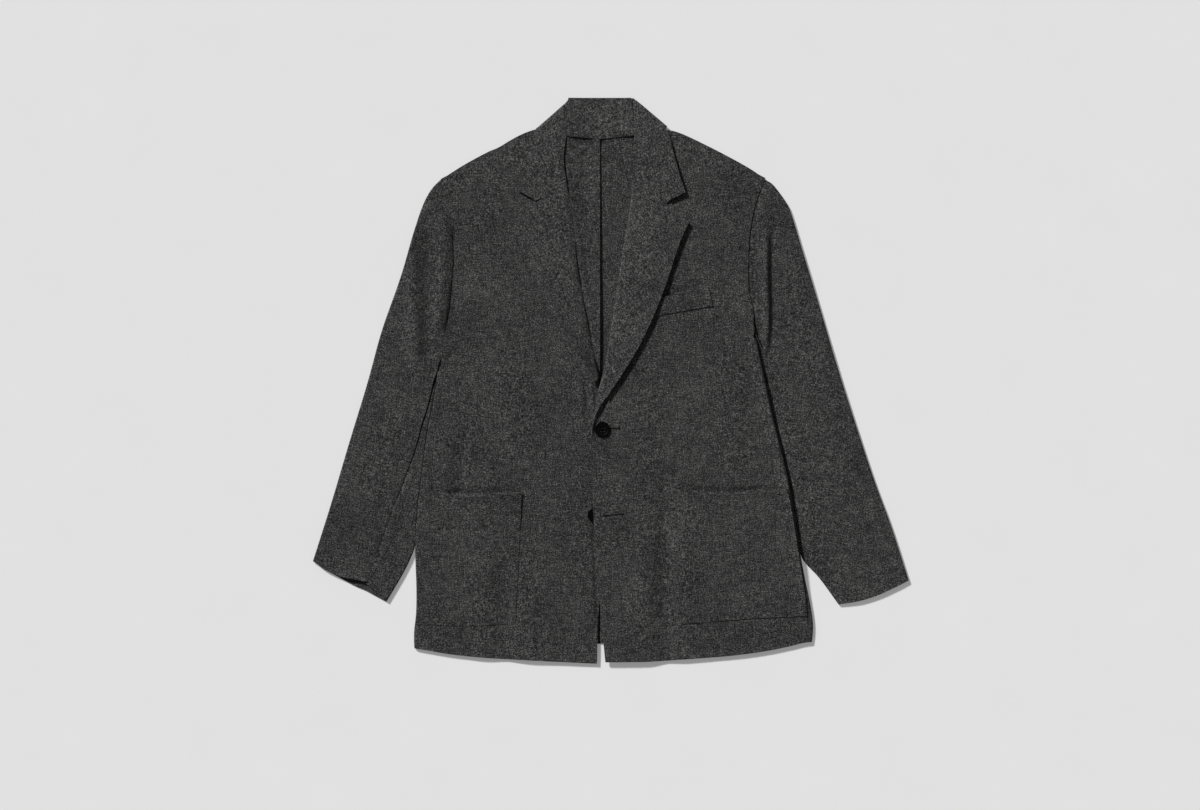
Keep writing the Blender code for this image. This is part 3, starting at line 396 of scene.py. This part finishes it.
def ramp(tree, pattern, stops):
    """Colours a pattern by (place, hex) stops."""
    made = node(tree, "ShaderNodeValToRGB", {"Fac": pattern})
    bar = made.color_ramp
    for end, (place, code) in ((0, stops[0]), (1, stops[-1])):
        bar.elements[end].position, bar.elements[end].color = place, colour(code)
    for place, code in stops[1:-1]:
        bar.elements.new(place).color = colour(code)
    return made.outputs["Color"]


def bump(tree, relief, strength, depth):
    values = {"Strength": strength, "Distance": depth}
    return node(tree, "ShaderNodeBump", {"Height": relief}, values).outputs["Normal"]


def surface(tree, shade, normal, values):
    """Ends a material in its shader, which takes the even values on its own sockets."""
    shader = node(tree, "ShaderNodeBsdfPrincipled", {"Base Color": shade, "Normal": normal}, values)
    node(tree, "ShaderNodeOutputMaterial", {"Surface": shader.outputs["BSDF"]})


def slubs(tree, grain, size):
    """Noise drawn out along one direction of the weave, about zero."""
    scale = (1 / size[0], 1 / size[1], 1 / YARN)
    drawn = node(tree, "ShaderNodeMapping", {"Vector": grain}, {"Scale": scale}).outputs["Vector"]
    return centred(tree, noise_map(tree, drawn, 1.0, 1.0))


def make_flannel(name, turn, stops):
    """Milled wool flannel of mixed fibres: matt and softly flecked, its nap hiding the twill."""
    material, tree = new_material(name)
    grain = node(tree, "ShaderNodeMapping", {"Vector": object_place(tree)},
                 {"Rotation": (0, 0, turn)}).outputs["Vector"]
    twill = node(tree, "ShaderNodeTexWave", {"Vector": grain},
                 {"Scale": 1 / TWILL, "Distortion": 3.0, "Detail": 2.0, "Detail Scale": 1.5},
                 bands_direction="DIAGONAL").outputs["Fac"]
    woven = noise_map(tree, grain, FLECK, 2.0, 0.65)
    woven = with_share(tree, woven, CLOUD_SHARE, noise_map(tree, grain, CLOUD, 3.0, 0.6))
    woven = with_share(tree, woven, TWILL_SHARE, twill)
    woven = with_share(tree, woven, SHADE_SHARE, centred(tree, noise_map(tree, grain, SHADE, 2.0)))
    for size in ((SLUB, YARN), (YARN, SLUB)):
        woven = with_share(tree, woven, SLUB_SHARE, slubs(tree, grain, size))
    relief = with_share(tree, noise_map(tree, grain, NAP, 2.0, 0.7), RIB_SHARE, twill)
    surface(tree, ramp(tree, woven, stops), bump(tree, relief, 0.55, NAP_DEPTH),
            {"Roughness": 0.92, "IOR": 1.5, "Specular IOR Level": 0.12, "Sheen Weight": 0.05,
             "Sheen Roughness": 0.6})
    return material


def make_mottled(name, stops, size, roughness, specular, depth, glow=0.0):
    """A plain finish with a fine mottle in its shade and relief; glow adds an even emission,
    painted light on a part that is no lamp.
    """
    material, tree = new_material(name)
    mottle = noise_map(tree, object_place(tree), size, 3.0)
    surface(tree, ramp(tree, mottle, stops), bump(tree, mottle, 0.3, depth),
            {"Roughness": roughness, "Specular IOR Level": specular, "Emission Color": (1, 1, 1, 1),
             "Emission Strength": glow})
    return material


# Cloth pieces

def add_object(name, shape):
    """Turns a bmesh into an object of the scene."""
    mesh = bpy.data.meshes.new(name)
    shape.to_mesh(mesh)
    shape.free()
    made = bpy.data.objects.new(name, mesh)
    bpy.context.scene.collection.objects.link(made)
    return made


def settle(piece):
    """Applies the piece's modifiers."""
    graph = bpy.context.evaluated_depsgraph_get()
    done = bpy.data.meshes.new_from_object(piece.evaluated_get(graph))
    old = piece.data
    piece.modifiers.clear()
    piece.data = done
    bpy.data.meshes.remove(old)


def dress(piece, material):
    """Gives a piece its one material, and lets it ride on the root body."""
    piece.data.materials.clear()
    piece.data.materials.append(material)
    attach(piece, ROOT)


def smooth_step(value, low, high):
    t = np.clip((value - low) / (high - low), 0.0, 1.0)
    return t * t * (3 - 2 * t)


def along(points, x, y):
    """Distance to a polyline in mm, and the share of its length at the nearest place."""
    line = np.array(points, float)
    runs = line[1:] - line[:-1]
    lengths = np.hypot(runs[:, 0], runs[:, 1])
    starts = np.concatenate([[0.0], np.cumsum(lengths)])
    best = np.full(x.shape, np.inf)
    share = np.zeros(x.shape)
    for start, run, length, before in zip(line, runs, lengths, starts):
        t = np.clip(((x - start[0]) * run[0] + (y - start[1]) * run[1]) / length ** 2, 0.0, 1.0)
        gap = np.hypot(x - start[0] - t * run[0], y - start[1] - t * run[1])
        nearer = gap < best
        best = np.where(nearer, gap, best)
        share = np.where(nearer, (before + t * length) / starts[-1], share)
    return best, share


def folds_of(name):
    """The line, half width and height of each fold that shapes a piece."""
    return [fold for parts, *fold in FOLDS if any(part in name for part in parts)]


def fold_height(name, x, y):
    """Height in mm of the soft ridges and troughs of a piece; each fades out at its ends."""
    total = np.zeros(x.shape)
    for points, half_width, height in folds_of(name):
        gap, share = along(points, x, y)
        fade = smooth_step(share, *FADE_IN) * (1 - smooth_step(share, *FADE_OUT))
        total += height * fade * np.exp(-((gap / half_width) ** 2))
    return total


def unevenness(x, y):
    """Slow rise and fall of cloth that has been worn, in mm."""
    def wave(a, b, width, length, layer):
        return noise.noise(Vector((a / width, b / length, layer)))

    places = zip(x.tolist(), y.tolist())
    values = [wave(a, b, *BROAD_WAVE) + SMALL_SHARE * wave(a, b, *SMALL_WAVE) for a, b in places]
    return UNEVEN * np.array(values)


def cloth_piece(name, levels):
    """The named solid's form as smooth quads, its rims kept crisp."""
    shape = bmesh.new()
    shape.from_mesh(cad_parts[name].data)
    bmesh.ops.remove_doubles(shape, verts=shape.verts, dist=MERGE)
    bmesh.ops.join_triangles(
        shape, faces=shape.faces, angle_face_threshold=JOIN_ANGLE, angle_shape_threshold=JOIN_SKEW)
    crease = shape.edges.layers.float.new("crease_edge")
    for edge in shape.edges:
        if edge.calc_face_angle(0.0) > RIM_ANGLE:
            edge[crease] = RIM_CREASE
    piece = add_object(name + "_cloth", shape)
    fair = piece.modifiers.new("fair", "SUBSURF")
    fair.levels = fair.render_levels = levels
    fair.use_limit_surface = False
    settle(piece)
    return piece


def refine(piece, name):
    """Adds points along the narrow folds, so that they keep their shape."""
    shape = bmesh.new()
    shape.from_mesh(piece.data)
    narrow = [fold for fold in folds_of(name) if fold[1] < NARROW]
    for points, half_width, _height in narrow:
        for _ in range(FINER_PASSES):
            edges = list(shape.edges)
            sums = [(edge.verts[0].co + edge.verts[1].co)[:2] for edge in edges]
            middles = np.array(sums) / 2 / MM
            lengths = np.array([edge.calc_length() for edge in edges]) / MM
            near = along(points, middles[:, 0], middles[:, 1])[0] < FINER_REACH * half_width
            coarse = lengths > FINER_EDGE * half_width
            picked = [edges[i] for i in np.flatnonzero(near & coarse)]
            if picked:
                bmesh.ops.subdivide_edges(shape, edges=picked, cuts=1, use_grid_fill=True)
    shape.to_mesh(piece.data)
    shape.free()


def press(piece, name):
    """Draws edges over to what they meet, then moves the upper layer up and down by the folds."""
    points = np.empty(len(piece.data.vertices) * 3)
    piece.data.vertices.foreach_get("co", points)
    points = points.reshape(-1, 3)
    for names, edge, reach, first, last, ceiling in DRAWN:
        if name in names:
            gap, share = along(edge, points[:, 0] / MM, points[:, 1] / MM)
            move = np.outer(1 - share, first) + np.outer(share, last)
            above = smooth_step(points[:, 2] / MM, ceiling - BLEND, ceiling + BLEND)
            weight = (1 - smooth_step(gap, 0.0, reach)) * (1 - above)
            points += move * weight[:, None] * MM
    x, y, z = points[:, 0] / MM, points[:, 1] / MM, points[:, 2] / MM
    lift = smooth_step(z, *UPPER)
    points[:, 2] += lift * fold_height(name, x, y) * MM
    points[:, 2] += lift * unevenness(x, y) * MM
    points[:, 2] = np.maximum(points[:, 2], LOWEST * (1 - lift))
    piece.data.vertices.foreach_set("co", points.ravel())
    piece.data.update()


# Stitching, partly painted seam shade, and buttons

def top_of(pieces):
    """A function that gives the cloth's top at a place in mm."""
    graph = bpy.context.evaluated_depsgraph_get()
    trees = [BVHTree.FromObject(piece, graph) for piece in pieces]
    down = Vector((0, 0, -1))

    def top(x, y):
        hits = [tree.ray_cast(Vector((x * MM, y * MM, ABOVE)), down)[0] for tree in trees]
        return max((hit.z for hit in hits if hit is not None), default=None)

    return top


def stations(points, pitch):
    """Evenly spaced places along a polyline, with the direction there."""
    line = [Vector(p) for p in points]
    lengths = [0.0]
    for a, b in zip(line, line[1:]):
        lengths.append(lengths[-1] + (b - a).length)
    count = max(int(lengths[-1] / pitch), 1)
    places = []
    i = 0
    for k in range(count):
        want = (k + 0.5) * lengths[-1] / count
        while lengths[i + 1] < want:
            i += 1
        run = line[i + 1] - line[i]
        places.append((line[i] + run * ((want - lengths[i]) / run.length), run.normalized()))
    return places


def sew(shape, top, points, pitch, length, girth, crosswise):
    """Lays a row of stitches on the cloth: small spindles along the line, or across it."""
    for place, run in stations(points, pitch):
        if crosswise:
            run = Vector((-run.y, run.x))
        ends = [place - run * length / 2, place + run * length / 2]
        heights = [top(end.x, end.y) for end in ends]
        if None in heights:
            continue
        rise = (girth / 2 - SINK) * MM
        low, high = [Vector((end.x * MM, end.y * MM, z + rise)) for end, z in zip(ends, heights)]
        turn = (high - low).to_track_quat("X", "Z").to_matrix().to_4x4()
        size = Matrix.Diagonal(((high - low).length / 2, girth * MM / 2, girth * MM / 2, 1))
        lie = Matrix.Translation((low + high) / 2) @ turn @ size
        bmesh.ops.create_icosphere(shape, subdivisions=1, radius=1, matrix=lie)


def turned(profile):
    """A closed shape: a profile in mm turned about Z."""
    shape = bmesh.new()
    verts = [shape.verts.new((r * MM, 0.0, z * MM)) for r, z in profile]
    edges = [shape.edges.new(pair) for pair in zip(verts, verts[1:])]
    bmesh.ops.spin(shape, geom=verts + edges, cent=(0, 0, 0), axis=(0, 0, 1), angle=math.tau,
                   steps=BUTTON_STEPS, use_merge=True)
    bmesh.ops.remove_doubles(shape, verts=shape.verts, dist=BUTTON_MERGE)
    bmesh.ops.recalc_face_normals(shape, faces=shape.faces)
    return shape


def hole_drill(tilt):
    """Rods where the button's holes go."""
    drill = bmesh.new()
    for corner in range(HOLES):
        turn = tilt + corner * math.tau / HOLES
        place = (HOLE_OFF * MM * math.cos(turn), HOLE_OFF * MM * math.sin(turn), DRILL_MIDDLE * MM)
        bmesh.ops.create_cone(
            drill, cap_ends=True, segments=HOLE_STEPS, radius1=HOLE_R * MM, radius2=HOLE_R * MM,
            depth=DRILL_LENGTH * MM, matrix=Matrix.Translation(place))
    return drill


def make_button(name, solid, tilt, material):
    """A four-hole button in its solid's place: dished face, rounded rim, bored holes."""
    piece = add_object(name, turned(BUTTON_PROFILE))
    piece.data.shade_smooth()
    tool = add_object(name + "_drill", hole_drill(tilt))
    bore = piece.modifiers.new("holes", "BOOLEAN")
    bore.object = tool
    bore.solver = "EXACT"
    settle(piece)
    bpy.data.objects.remove(tool)
    low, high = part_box(solid)
    middle = (low + high) / 2
    piece.data.transform(Matrix.Translation((middle.x, middle.y, low.z)))
    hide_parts(solid)
    dress(piece, material)


# Spun, milled wool: dark grey, matt, with a fine fleck; sleeves and collar are cut on other grains.
# The crosswise copy for lapels and collar is painted lighter, standing in for the light they catch
flannel = make_flannel("wool_flannel_milled", 0.0, FLANNEL_STOPS)
flannel_sleeve = make_flannel("wool_flannel_milled_sleeve", math.radians(12), FLANNEL_STOPS)
flannel_cross_painted_lighter = make_flannel("wool_flannel_milled_crosswise_painted_lighter", math.radians(62), CROSS_PAINTED_LIGHTER_STOPS)
# Spun polyester: a nearly black thread, a little smoother than the wool; a few of its rows are
# painted shade along seams and an edge
thread = make_mottled("polyester_thread_and_seam_shade", THREAD_AND_SEAM_SHADE_STOPS, 1.2 * MM, 0.7, 0.2, 0.05 * MM)
# Moulded resin: black, with a soft shine on rim and dish
resin = make_mottled("polyester_resin_moulded", RESIN_STOPS, 3.0 * MM, 0.3, 0.1, 0.02 * MM)
# Painted board: pale, even and without gloss, glowing a little by its own emission, painted light
# that keeps its shadows light
board = make_mottled("painted_board_matt_glowing", BOARD_STOPS, 90 * MM, 0.95, 0.0, 0.0, BOARD_GLOW)

# Cloth: solid, subdivision, finish, what it rests on, flat width and length of its cut, flat area
CLOTHS = [
    ("back_left", COARSE, flannel, [], (0.266, 0.741), 0.1625),
    ("back_right", FINE, flannel, [], (0.230, 0.740), 0.1566),
    ("side_left", COARSE, flannel, [], (0.080, 0.450), 0.0271),
    ("side_right", COARSE, flannel, [], (0.072, 0.406), 0.0237),
    ("front_left", FINE, flannel, ["back_left", "front_right"], (0.330, 0.768), 0.1893),
    ("front_right", FINE, flannel, ["back_right"], (0.310, 0.769), 0.1803),
    ("lapel_left", FINE, flannel_cross_painted_lighter, ["front_left"], (0.100, 0.330), 0.0180),
    ("lapel_right", FINE, flannel_cross_painted_lighter, ["front_right"], (0.092, 0.285), 0.0149),
    ("collar_stand", FINE, flannel_cross_painted_lighter, ["back_left", "back_right"], (0.055, 0.090), 0.0048),
    ("collar_leaf", FINE, flannel_cross_painted_lighter, ["front_left", "front_right"], (0.075, 0.430), 0.0205),
    ("sleeve_top_left", FINE, flannel_sleeve, ["sleeve_under_left"], (0.155, 0.625), 0.0745),
    ("sleeve_top_right", FINE, flannel_sleeve, ["sleeve_under_right"], (0.150, 0.600), 0.0690),
    ("sleeve_under_left", COARSE, flannel_sleeve, [], (0.110, 0.560), 0.0464),
    ("sleeve_under_right", COARSE, flannel_sleeve, [], (0.105, 0.530), 0.0431),
    ("pocket_left", FINE, flannel, ["front_left"], (0.188, 0.194), 0.0321),
    ("pocket_right", FINE, flannel, ["front_right"], (0.150, 0.202), 0.0273),
    ("welt", FINE, flannel, ["front_left"], (0.028, 0.086), 0.0023),
]

cloths = {}
for solid, levels, finish, rests_on, flat, area in CLOTHS:
    cloth = cloth_piece(solid, levels)
    refine(cloth, solid)
    press(cloth, solid)
    cloth.data.shade_smooth()
    cloth.data.set_sharp_from_angle(angle=CUT_ANGLE)
    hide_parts(solid)
    dress(cloth, finish)
    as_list(rests_on)
    cloths[solid] = cloth

bpy.context.view_layer.update()

rows = bmesh.new()
for carriers, points, pitch, length, girth, crosswise in SEWING_AND_SEAM_SHADE:
    top = top_of([cloths[name] for name in carriers])
    sew(rows, top, points, pitch, length, girth, crosswise)
stitching_and_seam_shade = add_object("stitching_and_seam_shade", rows)
stitching_and_seam_shade.data.shade_smooth()
dress(stitching_and_seam_shade, thread)

# Buttons, each turned about its own middle by an angle in radians
make_button("button_upper_turned", "button_upper", 0.7, resin)
make_button("button_lower_turned", "button_lower", 0.9, resin)

# Floor, camera and light
ground = bmesh.new()
bmesh.ops.create_grid(ground, x_segments=FLOOR_PARTS, y_segments=FLOOR_PARTS, size=FLOOR_HALF)
floor = add_object("floor", ground)
floor.data.materials.append(board)

view = bpy.data.cameras.new("view")
view.lens = LENS
view.sensor_width = SENSOR
view.clip_end = CLIP_END
camera = bpy.data.objects.new("view", view)
camera.location = (*VIEW_CENTRE, VIEW_WIDTH * LENS / SENSOR)
bpy.context.scene.collection.objects.link(camera)
bpy.context.scene.camera = camera

lamp = bpy.data.lights.new("window", "SUN")
lamp.energy = SUN_STRENGTH
lamp.angle = SUN_SIZE
sun = bpy.data.objects.new("window", lamp)
travel = Vector((*SUN_TRAVEL, -math.tan(SUN_RISE) * math.hypot(*SUN_TRAVEL)))
sun.rotation_euler = travel.to_track_quat("-Z", "Y").to_euler()
bpy.context.scene.collection.objects.link(sun)

world = bpy.data.worlds.new("soft_room")
world.use_nodes = True
backdrop = world.node_tree.nodes["Background"]
backdrop.inputs["Color"].default_value = (SKY_GREY, SKY_GREY, SKY_GREY, 1.0)
bpy.context.scene.world = world
bpy.context.scene.view_settings.view_transform = "Standard"
